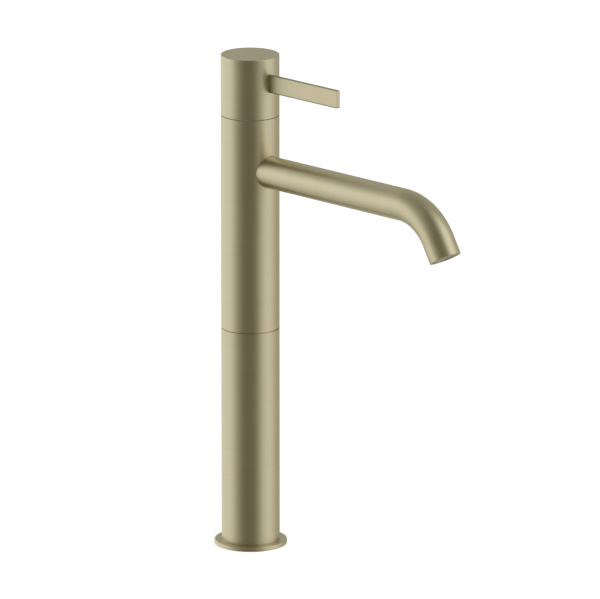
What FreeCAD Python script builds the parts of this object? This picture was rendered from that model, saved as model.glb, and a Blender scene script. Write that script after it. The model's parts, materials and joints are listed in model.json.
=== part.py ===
import FreeCAD, Part

import math
import os

# Tall single-lever basin mixer on a round column.
# Frame: origin at the centre of the base's underside, on the deck; +Z up; the spout points along +X.
# All sizes are in millimetres and all angles in degrees.

# Driving dimensions of the outside
BODY_R = 20.0
HEIGHT = 345.0
FLANGE_R = 25.0
FLANGE_T = 3.0
LOW_SEAM_Z = 153.6
TOP_SEAM_Z = 303.1
SEAM_GAP = 0.5
SPOUT_Z = 265.8
SPOUT_R = 11.0
SPOUT_RUN = 146.0
SPOUT_BEND_R = 38.5
SPOUT_BEND = 60.0
SPOUT_TIP = 12.7
LEVER_Z = 327.7
LEVER_H = 12.3
LEVER_T = 3.0
LEVER_REACH = 84.8
HANDLE_TURN = 100.0

# Small edges and clearances
EDGE = 0.25
CAP_EDGE = 0.45
FLANGE_EDGE = 0.8
SLIP = 0.05

# Mounting below the deck
DECK_T = 30.0
SHANK_R = 16.5
SHANK_BORE_R = 13.5
SHANK_DROP = 60.0
SHANK_TOP = 17.0
SHANK_GROOVE_Z = -46.6
WASHER_R = 25.0
RUBBER_T = 3.0
STEEL_T = 1.5
NUT_H = 10.0
NUT_FLATS = 41.0
SEAL_OUTER_R = 22.5
SEAL_INNER_R = 19.5
SEAL_T = 1.5

# Column bore, coupling and valve block
TUBE_BORE_R = 17.0
SLEEVE_HALF = 14.5
SLEEVE_BORE_R = 14.2
SLEEVE_COLLAR_R = 19.0
SLEEVE_RING_Z = 10.0
LIP_R = 15.5
LIP_Z = 299.0
BLOCK_R = 16.95
BLOCK_LOW = 246.0
PORT_R = 4.5
PORT_DEPTH = 12.0
PORT_X = -2.0
PORT_Y = 7.2
PASSAGE_R = 2.5
MIXED_R = 2.4
CHAMBER_R = 3.5
CHAMBER_X = -2.5

# Spout fixing
SEAT_X = 13.5
SPOUT_BORE_R = 8.5
NIPPLE_THREAD_R = 6.58
NIPPLE_START = 8.0
NIPPLE_END = 36.0
NIPPLE_BORE_R = 4.5
NIPPLE_RINGS_X = (17.0, 21.0)
SCREW_R = 2.0
SPOUT_SCREW_X = 28.0
SCREW_GROOVE_R = 7.3

# Outlet, measured inward from the spout's end
AERATOR_R = 9.5
AERATOR_DEPTH = 10.5
AERATOR_INSET = 1.0
AERATOR_CORE_R = 8.05
HONEYCOMB_PITCH = 2.0
HONEYCOMB_FLATS = 1.7
SCREEN_PITCH = 1.7
SCREEN_HOLE_R = 0.55
CORE_OPEN_R = 7.2

# Ceramic cartridge
SEAT_Z = 274.0
CARTRIDGE_R = 12.9
BASE_TOP = 277.5
DISC_JOIN = 280.5
DISC_TOP = 283.5
DRIVER_TOP = 288.0
CHAMBER_TOP = 290.3
SHOULDER_Z = 290.0
HOUSING_TOP = 298.0
NECK_TOP = 301.8
CAVITY_R = 10.3
NECK_R = 8.0
UPPER_HOUSING_R = 11.4
FIXED_DISC_R = 10.2
MOVING_DISC_R = 9.6
DRIVER_R = 9.7
JOURNAL_R = 5.0
SPINDLE_TOP = 316.0
SPLINE_TIP_R = 4.0
SPLINE_ROOT_R = 3.6
SPLINE_TEETH = 20
RING_NUT_R = 15.0
STOP_TRACK_R = 10.5
STOP_LUG_R = 1.3
STOP_SLACK = 1.7
LUG_ANGLES = (0.0, 120.0, 240.0)

# Handle
CAP_BORE_R = 16.5
CAP_TOP_T = 4.0
HUB_R = 16.4
HUB_LOW = 304.5
HUB_TOP = 319.0
POCKET_X = 18.2
STUD_R = 3.0
STUD_START = 7.5
BOSS_X = 12.5
HANDLE_SCREW_Z = 311.0

X = FreeCAD.Vector(1, 0, 0)
Y = FreeCAD.Vector(0, 1, 0)
Z = FreeCAD.Vector(0, 0, 1)
ORIGIN = FreeCAD.Vector(0, 0, 0)

EXTENSION_TOP = LOW_SEAM_Z - SEAM_GAP / 2
BODY_LOW = LOW_SEAM_Z + SEAM_GAP / 2
BODY_TOP = TOP_SEAM_Z - SEAM_GAP / 2
CAP_LOW = TOP_SEAM_Z + SEAM_GAP / 2


def at(x, y, z):
    return FreeCAD.Vector(x, y, z)


def cylinder(radius, low, high, x=0.0, y=0.0):
    """Upright cylinder between two heights."""
    return Part.makeCylinder(radius, high - low, at(x, y, low))


def ring(outer, inner, low, high, x=0.0, y=0.0):
    """Upright ring of rectangular section."""
    return cylinder(outer, low, high, x, y).cut(cylinder(inner, low, high, x, y))


def bar(radius, start, end, z):
    """Cylinder along X."""
    return Part.makeCylinder(radius, end - start, at(start, 0, z), X)


def block(x_range, y_range, z_range):
    """Box between three pairs of limits."""
    sizes = [high - low for low, high in (x_range, y_range, z_range)]
    return Part.makeBox(*sizes, at(x_range[0], y_range[0], z_range[0]))


def turned(corners):
    """Solid of revolution about Z whose section has (radius, height) corners."""
    points = [at(radius, 0, height) for radius, height in corners]
    section = Part.Face(Part.makePolygon(points + points[:1]))
    return section.revolve(ORIGIN, Z, 360)


def prism(radii, low, high, turn=0.0):
    """Upright prism whose corners are evenly spaced about Z at the given radii."""
    points = []
    for index, radius in enumerate(radii):
        angle = math.radians(turn + 360 * index / len(radii))
        points.append(at(radius * math.cos(angle), radius * math.sin(angle), low))
    section = Part.Face(Part.makePolygon(points + points[:1]))
    return section.extrude(at(0, 0, high - low))


def hexagon(flats, low, high):
    """Upright hexagonal prism."""
    return prism([flats / math.sqrt(3)] * 6, low, high)


def sector(outer, inner, low, high, start, end):
    """Part of an upright ring between two angles about Z."""
    section = Part.Face(Part.makePolygon([
        at(inner, 0, low), at(outer, 0, low), at(outer, 0, high), at(inner, 0, high), at(inner, 0, low),
    ]))
    section.rotate(ORIGIN, Z, start)
    return section.revolve(ORIGIN, Z, end - start)


def along_x(shape, x, z):
    """Turns a shape made about Z to lie along +X and puts its origin on the column's middle plane."""
    turned_shape = shape.copy()
    turned_shape.rotate(ORIGIN, Y, 90)
    turned_shape.translate(at(x, 0, z))
    return turned_shape


def outlet_centre():
    """Centre of the spout's open end."""
    angle = math.radians(SPOUT_BEND)
    x = SPOUT_RUN + SPOUT_BEND_R * math.sin(angle) + SPOUT_TIP * math.cos(angle)
    z = SPOUT_Z - SPOUT_BEND_R * (1 - math.cos(angle)) - SPOUT_TIP * math.sin(angle)
    return at(x, 0, z)


def at_outlet(shape):
    """Moves a shape made about Z, with height counted inward, onto the spout's end."""
    placed = shape.copy()
    placed.rotate(ORIGIN, Y, SPOUT_BEND - 90)
    placed.translate(outlet_centre())
    return placed


def hex_grid(pitch, limit):
    """Centres of a hexagonal grid that lie within a radius."""
    centres = []
    rows = int(limit / pitch) + 2
    for row in range(-rows, rows + 1):
        for column in range(-rows, rows + 1):
            x = pitch * (column + row / 2)
            y = pitch * row * math.sqrt(3) / 2
            if math.hypot(x, y) <= limit:
                centres.append((x, y))
    return centres


def grub_screw(length):
    """M4 grub screw along Z: cup point at height 0, hexagon socket at the top."""
    point = 0.5
    socket_flats = 2.0
    socket_depth = 1.6
    body = turned([
        (0, 0), (SCREW_R - point, 0), (SCREW_R, point), (SCREW_R, length), (0, length),
    ])
    return body.cut(hexagon(socket_flats, length - socket_depth, length))


# Column and deck fixing


def base_flange():
    body = ring(FLANGE_R, SHANK_R + 0.2, 0, FLANGE_T)
    rim = [edge for edge in body.Edges if edge.BoundBox.ZMin > FLANGE_T - EDGE and edge.Length > 6 * FLANGE_R]
    body = body.makeFillet(FLANGE_EDGE, rim)
    return body.cut(ring(SEAL_OUTER_R, SEAL_INNER_R, 0, SEAL_T))


def base_seal():
    return ring(SEAL_OUTER_R - SLIP, SEAL_INNER_R + SLIP, 0, SEAL_T)


def mounting_shank():
    """Hollow M33 shank with a shallow groove below the nut where its end can be cut off."""
    lead = 1.0
    groove_half = 0.6
    body = turned([
        (SHANK_BORE_R, -SHANK_DROP), (SHANK_R - lead, -SHANK_DROP), (SHANK_R, lead - SHANK_DROP),
        (SHANK_R, SHANK_TOP), (SHANK_BORE_R, SHANK_TOP),
    ])
    groove = ring(SHANK_R + 1, SHANK_R - 0.6, SHANK_GROOVE_Z - groove_half, SHANK_GROOVE_Z + groove_half)
    return body.cut(groove)


def clamp_rubber_washer():
    return ring(WASHER_R, SHANK_R + 0.5, -DECK_T - RUBBER_T, -DECK_T)


def clamp_steel_washer():
    top = -DECK_T - RUBBER_T
    return ring(WASHER_R, SHANK_R + 0.5, top - STEEL_T, top)


def clamp_nut():
    top = -DECK_T - RUBBER_T - STEEL_T
    bevel = 1.5
    corner_r = NUT_FLATS / math.sqrt(3)
    envelope = turned([
        (0, top - NUT_H), (corner_r - bevel, top - NUT_H), (corner_r, top - NUT_H + bevel / 2),
        (corner_r, top), (0, top),
    ])
    body = hexagon(NUT_FLATS, top - NUT_H, top).common(envelope)
    return body.cut(cylinder(SHANK_R, top - NUT_H, top))


def extension_tube():
    thread_top = SHANK_TOP + 1.0
    return turned([
        (SHANK_R, FLANGE_T), (BODY_R - EDGE, FLANGE_T), (BODY_R, FLANGE_T + EDGE),
        (BODY_R, EXTENSION_TOP - EDGE), (BODY_R - EDGE, EXTENSION_TOP),
        (TUBE_BORE_R, EXTENSION_TOP), (TUBE_BORE_R, thread_top), (SHANK_R, thread_top),
    ])


def coupling_sleeve():
    low = LOW_SEAM_Z - SLEEVE_HALF
    high = LOW_SEAM_Z + SLEEVE_HALF
    body = turned([
        (SLEEVE_BORE_R, low), (TUBE_BORE_R, low), (TUBE_BORE_R, EXTENSION_TOP),
        (SLEEVE_COLLAR_R, EXTENSION_TOP), (SLEEVE_COLLAR_R, BODY_LOW),
        (TUBE_BORE_R, BODY_LOW), (TUBE_BORE_R, high), (SLEEVE_BORE_R, high),
    ])
    groove_z = LOW_SEAM_Z + SLEEVE_RING_Z
    return body.cut(ring(TUBE_BORE_R + 1, TUBE_BORE_R - 1.5, groove_z - 1, groove_z + 1))


def coupling_o_ring():
    section = 0.7
    return Part.makeTorus(TUBE_BORE_R - section - SLIP, section, at(0, 0, LOW_SEAM_Z + SLEEVE_RING_Z), Z)


def upper_body():
    shell = turned([
        (TUBE_BORE_R, BODY_LOW), (BODY_R - EDGE, BODY_LOW), (BODY_R, BODY_LOW + EDGE),
        (BODY_R, BODY_TOP - EDGE), (BODY_R - EDGE, BODY_TOP),
        (LIP_R, BODY_TOP), (LIP_R, LIP_Z), (TUBE_BORE_R, LIP_Z),
    ])
    return shell.cut(bar(SPOUT_R + 0.02, 0, BODY_R + 5, SPOUT_Z))


def valve_block():
    thread_low = SHOULDER_Z - 1.0
    body = cylinder(BLOCK_R, BLOCK_LOW, LIP_Z)
    cuts = [
        cylinder(CARTRIDGE_R + SLIP, SEAT_Z, LIP_Z),
        cylinder(RING_NUT_R, thread_low, LIP_Z),
        bar(SPOUT_R + 0.1, SEAT_X, BLOCK_R + 1, SPOUT_Z),
        bar(NIPPLE_THREAD_R, NIPPLE_START, SEAT_X, SPOUT_Z),
        bar(CHAMBER_R, CHAMBER_X, NIPPLE_START, SPOUT_Z),
        cylinder(MIXED_R, SPOUT_Z, SEAT_Z),
    ]
    for side in (-1, 1):
        cuts.append(cylinder(PORT_R, BLOCK_LOW, BLOCK_LOW + PORT_DEPTH, PORT_X, side * PORT_Y))
        cuts.append(cylinder(PASSAGE_R, BLOCK_LOW, SEAT_Z, PORT_X, side * PORT_Y))
        cuts.append(locating_peg(side, SLIP))
    return body.cut(cuts)


# Spout and outlet


def spout_tube():
    bend_centre = at(SPOUT_RUN, 0, SPOUT_Z - SPOUT_BEND_R)

    def solid(radius, start):
        circle = Part.Circle(at(SPOUT_RUN, 0, SPOUT_Z), X, radius)
        section = Part.Face(Part.Wire(circle.toShape()))
        bend = section.revolve(bend_centre, Y, SPOUT_BEND)
        return bar(radius, start, SPOUT_RUN, SPOUT_Z).fuse(bend)

    tip = turned([
        (0, 0), (SPOUT_R - CAP_EDGE, 0), (SPOUT_R, CAP_EDGE), (SPOUT_R, SPOUT_TIP), (0, SPOUT_TIP),
    ])
    waterway = turned([
        (0, -1), (AERATOR_R + CAP_EDGE, -1), (AERATOR_R + CAP_EDGE, 0), (AERATOR_R, CAP_EDGE),
        (AERATOR_R, AERATOR_DEPTH), (SPOUT_BORE_R, AERATOR_DEPTH), (SPOUT_BORE_R, SPOUT_TIP), (0, SPOUT_TIP),
    ])
    body = solid(SPOUT_R, SEAT_X).fuse(at_outlet(tip))
    body = body.cut([solid(SPOUT_BORE_R, SEAT_X - 1), at_outlet(waterway)])
    body = body.cut(cylinder(SCREW_R, SPOUT_Z - SPOUT_R - 1, SPOUT_Z - SCREW_GROOVE_R, SPOUT_SCREW_X))
    return body.removeSplitter()


def spout_nipple():
    spigot_r = SPOUT_BORE_R - SLIP
    groove_r = spigot_r - 1.45
    groove_half = 1.0
    thread_length = SEAT_X - NIPPLE_START
    length = NIPPLE_END - NIPPLE_START
    body = turned([
        (NIPPLE_BORE_R, 0), (NIPPLE_THREAD_R, 0), (NIPPLE_THREAD_R, thread_length),
        (spigot_r, thread_length), (spigot_r, length - EDGE), (spigot_r - EDGE, length),
        (NIPPLE_BORE_R, length),
    ])
    for x in NIPPLE_RINGS_X:
        middle = x - NIPPLE_START
        body = body.cut(ring(spigot_r + 1, groove_r, middle - groove_half, middle + groove_half))
    middle = SPOUT_SCREW_X - NIPPLE_START
    body = body.cut(ring(spigot_r + 1, SCREW_GROOVE_R, middle - SCREW_R - 0.2, middle + SCREW_R + 0.2))
    key_flats = 10.0
    key_depth = 6.0
    body = body.cut(hexagon(key_flats, length - key_depth, length))
    return along_x(body, NIPPLE_START, SPOUT_Z)


def spout_o_rings():
    section = 0.7
    centre_r = SPOUT_BORE_R - section - SLIP
    rings = [Part.makeTorus(centre_r, section, at(x, 0, SPOUT_Z), X) for x in NIPPLE_RINGS_X]
    return Part.makeCompound(rings)


def spout_set_screw():
    length = 3.0
    screw = grub_screw(length)
    screw.rotate(ORIGIN, X, 180)
    screw.translate(at(SPOUT_SCREW_X, 0, SPOUT_Z - SCREW_GROOVE_R - SLIP))
    return screw


def aerator_housing():
    top = 8.8
    lip = 0.6
    body = turned([
        (CORE_OPEN_R + 0.3, AERATOR_INSET), (AERATOR_R - SLIP, AERATOR_INSET), (AERATOR_R - SLIP, top),
        (AERATOR_CORE_R + SLIP, top), (AERATOR_CORE_R + SLIP, AERATOR_INSET + lip),
        (CORE_OPEN_R + 0.3, AERATOR_INSET + lip),
    ])
    key_slots = 6
    for index in range(key_slots):
        slot = block((AERATOR_CORE_R + 0.4, AERATOR_R), (-0.8, 0.8), (AERATOR_INSET, AERATOR_INSET + 1.2))
        slot.rotate(ORIGIN, Z, 360 * index / key_slots)
        body = body.cut(slot)
    return at_outlet(body)


def aerator_honeycomb():
    low = AERATOR_INSET + 0.65
    high = 3.9
    body = cylinder(AERATOR_CORE_R, low, high)
    cells = []
    for x, y in hex_grid(HONEYCOMB_PITCH, CORE_OPEN_R - HONEYCOMB_FLATS / 2):
        cell = prism([HONEYCOMB_FLATS / math.sqrt(3)] * 6, low, high, 30)
        cell.translate(at(x, y, 0))
        cells.append(cell)
    return at_outlet(body.cut(cells))


def aerator_jet_former():
    low = 3.95
    high = 7.4
    jets = 12
    jet_r = 0.6
    jet_ring_r = 5.4
    body = turned([
        (0, low + 1.2), (3.0, low + 1.2), (4.2, low), (AERATOR_CORE_R, low), (AERATOR_CORE_R, high),
        (6.6, high), (6.6, high - 1.0), (0, high - 1.0),
    ])
    holes = []
    for index in range(jets):
        angle = math.radians(360 * index / jets)
        holes.append(cylinder(jet_r, low, high, jet_ring_r * math.cos(angle), jet_ring_r * math.sin(angle)))
    return at_outlet(body.cut(holes))


def aerator_screen():
    low = 7.45
    high = 7.95
    body = cylinder(AERATOR_CORE_R, low, high)
    holes = []
    for x, y in hex_grid(SCREEN_PITCH, CORE_OPEN_R - SCREEN_HOLE_R):
        holes.append(cylinder(SCREEN_HOLE_R, low, high, x, y))
    return at_outlet(body.cut(holes))


def aerator_seal():
    return at_outlet(ring(AERATOR_R - 0.1, CORE_OPEN_R, 8.85, AERATOR_DEPTH))


# Cartridge, fixed pieces


def port_places():
    """Hot inlet, cold inlet and mixed outlet, as (x, y)."""
    return [(PORT_X, -PORT_Y), (PORT_X, PORT_Y), (0.0, 0.0)]


def locating_peg(side, slack=0.0):
    """Peg under the cartridge that sets its angle in the valve block."""
    return cylinder(1.2 + slack, SEAT_Z - 2.0 - slack, SEAT_Z, 9.5, side * 4.5)


def cartridge_base():
    body = cylinder(CARTRIDGE_R, SEAT_Z, BASE_TOP)
    for side in (-1, 1):
        body = body.fuse(locating_peg(side))
    for x, y in port_places():
        body = body.cut(cylinder(MIXED_R, SEAT_Z, BASE_TOP, x, y))
        body = body.cut(cylinder(MIXED_R + 1.15, SEAT_Z, SEAT_Z + 1.2, x, y))
    return body


def cartridge_seals():
    rings = [ring(MIXED_R + 1.1, MIXED_R, SEAT_Z, SEAT_Z + 1.2, x, y) for x, y in port_places()]
    return Part.makeCompound(rings)


def fixed_disc():
    body = cylinder(FIXED_DISC_R, BASE_TOP, DISC_JOIN)
    for x, y in port_places():
        body = body.cut(cylinder(MIXED_R - 0.2, BASE_TOP, DISC_JOIN, x, y))
    return body


def cartridge_housing():
    return turned([
        (CAVITY_R, BASE_TOP), (CARTRIDGE_R, BASE_TOP), (CARTRIDGE_R, SHOULDER_Z),
        (UPPER_HOUSING_R, SHOULDER_Z), (UPPER_HOUSING_R, HOUSING_TOP), (NECK_R, HOUSING_TOP),
        (NECK_R, NECK_TOP), (JOURNAL_R + SLIP, NECK_TOP), (JOURNAL_R + SLIP, CHAMBER_TOP),
        (CAVITY_R, CHAMBER_TOP),
    ])


def cartridge_nut():
    body = ring(RING_NUT_R - SLIP, UPPER_HOUSING_R + 0.1, SHOULDER_Z, HOUSING_TOP)
    key_slots = 4
    for index in range(key_slots):
        slot = block((UPPER_HOUSING_R, RING_NUT_R), (-1.5, 1.5), (HOUSING_TOP - 2.0, HOUSING_TOP))
        slot.rotate(ORIGIN, Z, 45 + 360 * index / key_slots)
        body = body.cut(slot)
    return body


def stop_ring():
    """Ring on the cartridge's neck whose wall leaves an open arc for the hub's stop lug."""
    plate_top = HOUSING_TOP + 2.2
    wall_top = HUB_LOW - 0.9
    half_lug = math.degrees(math.asin(STOP_LUG_R / STOP_TRACK_R)) + STOP_SLACK
    half_arc = HANDLE_TURN / 2 + half_lug
    plate = ring(STOP_TRACK_R + 2.0, NECK_R + SLIP, HOUSING_TOP, plate_top)
    wall = sector(STOP_TRACK_R + 1.5, STOP_TRACK_R - 1.5, plate_top, wall_top, half_arc, 360 - half_arc)
    return plate.fuse(wall)


def glide_ring():
    inner = LIP_R - 1.4
    flange_top = CAP_LOW - 0.15
    return turned([
        (inner, LIP_Z + 0.6), (LIP_R - SLIP, LIP_Z + 0.6), (LIP_R - SLIP, BODY_TOP),
        (SLEEVE_COLLAR_R, BODY_TOP), (SLEEVE_COLLAR_R, flange_top), (inner, flange_top),
    ])


# Cartridge, turning pieces


def moving_disc():
    """Upper ceramic disc: pockets under it join the inlets to the centre as it turns."""
    low = DISC_JOIN + 0.02
    pocket_top = low + 1.5
    body = cylinder(MOVING_DISC_R, low, DISC_TOP)
    pockets = [cylinder(3.0, low, pocket_top)]
    for start, end in ((55, 85), (150, 200)):
        pockets.append(sector(9.0, 5.2, low, pocket_top, start, end))
        channel = block((0, 6.0), (-1.6, 1.6), (low, pocket_top))
        channel.rotate(ORIGIN, Z, (start + end) / 2)
        pockets.append(channel)
    for angle in LUG_ANGLES:
        notch = block((8.3, MOVING_DISC_R + 1), (-1.55, 1.55), (low, DISC_TOP))
        notch.rotate(ORIGIN, Z, angle)
        pockets.append(notch)
    return body.cut(pockets)


def disc_driver():
    """Plastic carrier that grips the moving disc's rim and takes the spindle's tang."""
    body = cylinder(DRIVER_R, DISC_TOP, DRIVER_TOP)
    for angle in LUG_ANGLES:
        lug = block((8.4, DRIVER_R - 0.15), (-1.5, 1.5), (DISC_TOP - 2.3, DISC_TOP))
        lug.rotate(ORIGIN, Z, angle)
        body = body.fuse(lug)
    return body.cut(block((-2.05, 2.05), (-4.5, 4.5), (DRIVER_TOP - 3.6, DRIVER_TOP)))


def cartridge_spindle():
    tang = block((-2.0, 2.0), (-4.4, 4.4), (DRIVER_TOP - 3.5, DRIVER_TOP))
    shaft = turned([
        (0, DRIVER_TOP), (7.5, DRIVER_TOP), (7.5, CHAMBER_TOP - 0.2), (JOURNAL_R, CHAMBER_TOP - 0.2),
        (JOURNAL_R, NECK_TOP), (0, NECK_TOP),
    ])
    spline = prism([SPLINE_TIP_R, SPLINE_ROOT_R] * SPLINE_TEETH, NECK_TOP, SPINDLE_TOP)
    body = shaft.fuse([tang, spline])
    groove_z = (CHAMBER_TOP + NECK_TOP) / 2
    groove = ring(JOURNAL_R + 1, JOURNAL_R - 1.45, groove_z - 1, groove_z + 1)
    return body.cut([groove, cylinder(SCREW_R, SPINDLE_TOP - 10, SPINDLE_TOP)])


def spindle_o_ring():
    section = 0.68
    return Part.makeTorus(JOURNAL_R - section, section, at(0, 0, (CHAMBER_TOP + NECK_TOP) / 2), Z)


# Handle


def handle_cap():
    shell = turned([
        (0, HEIGHT - CAP_TOP_T), (CAP_BORE_R, HEIGHT - CAP_TOP_T), (CAP_BORE_R, CAP_LOW),
        (BODY_R - EDGE, CAP_LOW), (BODY_R, CAP_LOW + EDGE), (BODY_R, HEIGHT - CAP_EDGE),
        (BODY_R - CAP_EDGE, HEIGHT), (0, HEIGHT),
    ])
    boss_half = 7.5
    boss = block((BOSS_X, CAP_BORE_R + 1), (-boss_half, boss_half), (LEVER_Z - boss_half, LEVER_Z + boss_half))
    boss = boss.common(cylinder(CAP_BORE_R + 1, LEVER_Z - boss_half, LEVER_Z + boss_half))
    half_t = LEVER_T / 2
    half_h = LEVER_H / 2
    pocket = block((POCKET_X, BODY_R + 1), (-half_t, half_t), (LEVER_Z - half_h, LEVER_Z + half_h))
    stud_hole = bar(STUD_R + SLIP, BOSS_X - 1, POCKET_X + 1, LEVER_Z)
    screw_hole = bar(SCREW_R, -BODY_R - 1, -CAP_BORE_R + 1, HANDLE_SCREW_Z)
    return shell.fuse(boss).cut([pocket, stud_hole, screw_hole])


def lever_blade():
    """Flat blade with slightly rounded end corners and a threaded stud that passes into the cap."""
    half_t = LEVER_T / 2
    half_h = LEVER_H / 2
    corner_r = 1.0
    blade = block((POCKET_X, LEVER_REACH), (-half_t, half_t), (LEVER_Z - half_h, LEVER_Z + half_h))
    end_corners = [
        edge for edge in blade.Edges
        if edge.BoundBox.XMin > LEVER_REACH - EDGE and edge.BoundBox.YLength > LEVER_T - EDGE
    ]
    blade = blade.makeFillet(corner_r, end_corners)
    side_edges = [
        edge for edge in blade.Edges
        if edge.BoundBox.YLength < EDGE and edge.BoundBox.XMax > POCKET_X + EDGE
    ]
    blade = blade.makeChamfer(EDGE / 2, side_edges)
    return blade.fuse(bar(STUD_R, STUD_START, POCKET_X, LEVER_Z))


def lever_washer():
    thickness = 1.2
    washer = ring(5.5, STUD_R + 0.1, 0, thickness)
    return along_x(washer, BOSS_X - thickness, LEVER_Z)


def lever_nut():
    height = 3.2
    across_flats = 10.0
    nut = hexagon(across_flats, 0, height).cut(cylinder(STUD_R, 0, height))
    return along_x(nut, BOSS_X - 1.2 - height, LEVER_Z)


def handle_hub():
    """Adapter between the splined spindle and the cap, with the lug that meets the rotation stops."""
    bevel = 0.5
    body = turned([
        (0, HUB_LOW), (HUB_R - bevel, HUB_LOW), (HUB_R, HUB_LOW + bevel), (HUB_R, HUB_TOP - bevel),
        (HUB_R - bevel, HUB_TOP), (0, HUB_TOP),
    ])
    lug_angle = math.radians(-HANDLE_TURN / 2)
    lug_x = STOP_TRACK_R * math.cos(lug_angle)
    lug_y = STOP_TRACK_R * math.sin(lug_angle)
    body = body.fuse(cylinder(STOP_LUG_R, HUB_LOW - 3.5, HUB_LOW, lug_x, lug_y))
    spline = prism([SPLINE_TIP_R + SLIP, SPLINE_ROOT_R + SLIP] * SPLINE_TEETH, HUB_LOW, SPINDLE_TOP + 0.5)
    screw_hole = cylinder(SCREW_R + 0.1, HUB_LOW, HUB_TOP)
    dimple = bar(SCREW_R + 0.1, -HUB_R - 1, -HUB_R + 1.3, HANDLE_SCREW_Z)
    return body.cut([spline, screw_hole, dimple])


def hub_screw():
    """Pan-head M4 screw that holds the hub on the spindle."""
    head_r = 3.5
    head_h = 2.4
    low = SPINDLE_TOP - 9
    shank = cylinder(SCREW_R, low, HUB_TOP)
    head = turned([
        (0, HUB_TOP), (head_r, HUB_TOP), (head_r, HUB_TOP + head_h - 0.6), (head_r - 0.9, HUB_TOP + head_h),
        (0, HUB_TOP + head_h),
    ])
    return shank.fuse(head).cut(hexagon(2.5, HUB_TOP + 0.9, HUB_TOP + head_h))


def handle_set_screw():
    length = 4.0
    screw = grub_screw(length)
    screw.rotate(ORIGIN, Y, -90)
    screw.translate(at(-HUB_R + 1.2, 0, HANDLE_SCREW_Z))
    return screw


PIECES = [
    base_flange, base_seal, mounting_shank, clamp_rubber_washer, clamp_steel_washer, clamp_nut,
    extension_tube, coupling_sleeve, coupling_o_ring, upper_body, valve_block,
    spout_tube, spout_nipple, spout_o_rings, spout_set_screw,
    aerator_housing, aerator_honeycomb, aerator_jet_former, aerator_screen, aerator_seal,
    cartridge_base, cartridge_seals, fixed_disc, cartridge_housing, cartridge_nut, stop_ring, glide_ring,
    moving_disc, disc_driver, cartridge_spindle, spindle_o_ring,
    handle_cap, lever_blade, lever_washer, lever_nut, handle_hub, hub_screw, handle_set_screw,
]

os.makedirs("parts", exist_ok=True)
for piece in PIECES:
    shape = piece()
    shape.exportStep("parts/" + piece.__name__ + ".step")
    print(piece.__name__, len(shape.Solids), "solid(s)", round(shape.Volume, 1), "mm3", shape.isValid())
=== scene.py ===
"""Looks of a tall single-lever basin mixer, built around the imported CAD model.

Lengths are in metres, in the frame of the CAD: origin under the base flange, +Z up, spout along +X.
"""

import json
import math
from collections import namedtuple

import bmesh
import bpy
from mathutils import Matrix, Vector


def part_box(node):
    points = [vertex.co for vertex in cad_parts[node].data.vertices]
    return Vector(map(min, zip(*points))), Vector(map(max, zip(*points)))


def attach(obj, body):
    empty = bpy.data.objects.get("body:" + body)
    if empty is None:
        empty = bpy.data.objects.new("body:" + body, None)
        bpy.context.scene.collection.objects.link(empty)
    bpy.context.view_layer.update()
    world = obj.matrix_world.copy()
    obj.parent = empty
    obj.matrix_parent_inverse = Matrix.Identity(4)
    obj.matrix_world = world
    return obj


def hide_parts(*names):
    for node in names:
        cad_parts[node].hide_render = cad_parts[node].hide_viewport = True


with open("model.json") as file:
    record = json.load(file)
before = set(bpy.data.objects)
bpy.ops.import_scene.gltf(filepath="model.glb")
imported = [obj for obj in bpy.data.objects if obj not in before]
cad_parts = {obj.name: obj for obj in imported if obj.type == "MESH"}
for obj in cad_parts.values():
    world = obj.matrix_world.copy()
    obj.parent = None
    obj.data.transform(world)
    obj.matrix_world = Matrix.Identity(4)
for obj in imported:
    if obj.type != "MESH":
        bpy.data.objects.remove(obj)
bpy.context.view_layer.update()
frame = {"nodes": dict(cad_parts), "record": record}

MM = 0.001
TAU = 2 * math.pi
TINY = 1e-7

X = Vector((1, 0, 0))
Y = Vector((0, 1, 0))
Z = Vector((0, 0, 1))
ORIGIN = Vector((0, 0, 0))

# Sizes read from the frame
FLANGE_LOW, FLANGE_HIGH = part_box("base_flange")
TUBE_LOW, TUBE_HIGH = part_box("extension_tube")
BODY_LOW, BODY_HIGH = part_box("upper_body")
CAP_LOW, CAP_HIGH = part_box("handle_cap")
SPOUT_LOW, SPOUT_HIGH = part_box("spout_tube")
NIPPLE_LOW, NIPPLE_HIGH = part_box("spout_nipple")
LEVER_LOW, LEVER_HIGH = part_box("lever_blade")
SHANK_LOW, SHANK_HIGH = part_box("mounting_shank")
NUT_LOW, NUT_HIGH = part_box("clamp_nut")
SPOUT_SCREW_LOW, SPOUT_SCREW_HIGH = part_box("spout_set_screw")
CAP_SCREW_LOW, CAP_SCREW_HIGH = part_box("handle_set_screw")
SEAL_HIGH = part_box("base_seal")[1]

COLUMN_R = TUBE_HIGH.x
SPOUT_Z = (NIPPLE_LOW.z + NIPPLE_HIGH.z) / 2
SPOUT_R = SPOUT_HIGH.z - SPOUT_Z
LEVER_Z = (LEVER_LOW.z + LEVER_HIGH.z) / 2
LEVER_HALF_H = (LEVER_HIGH.z - LEVER_LOW.z) / 2

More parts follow.
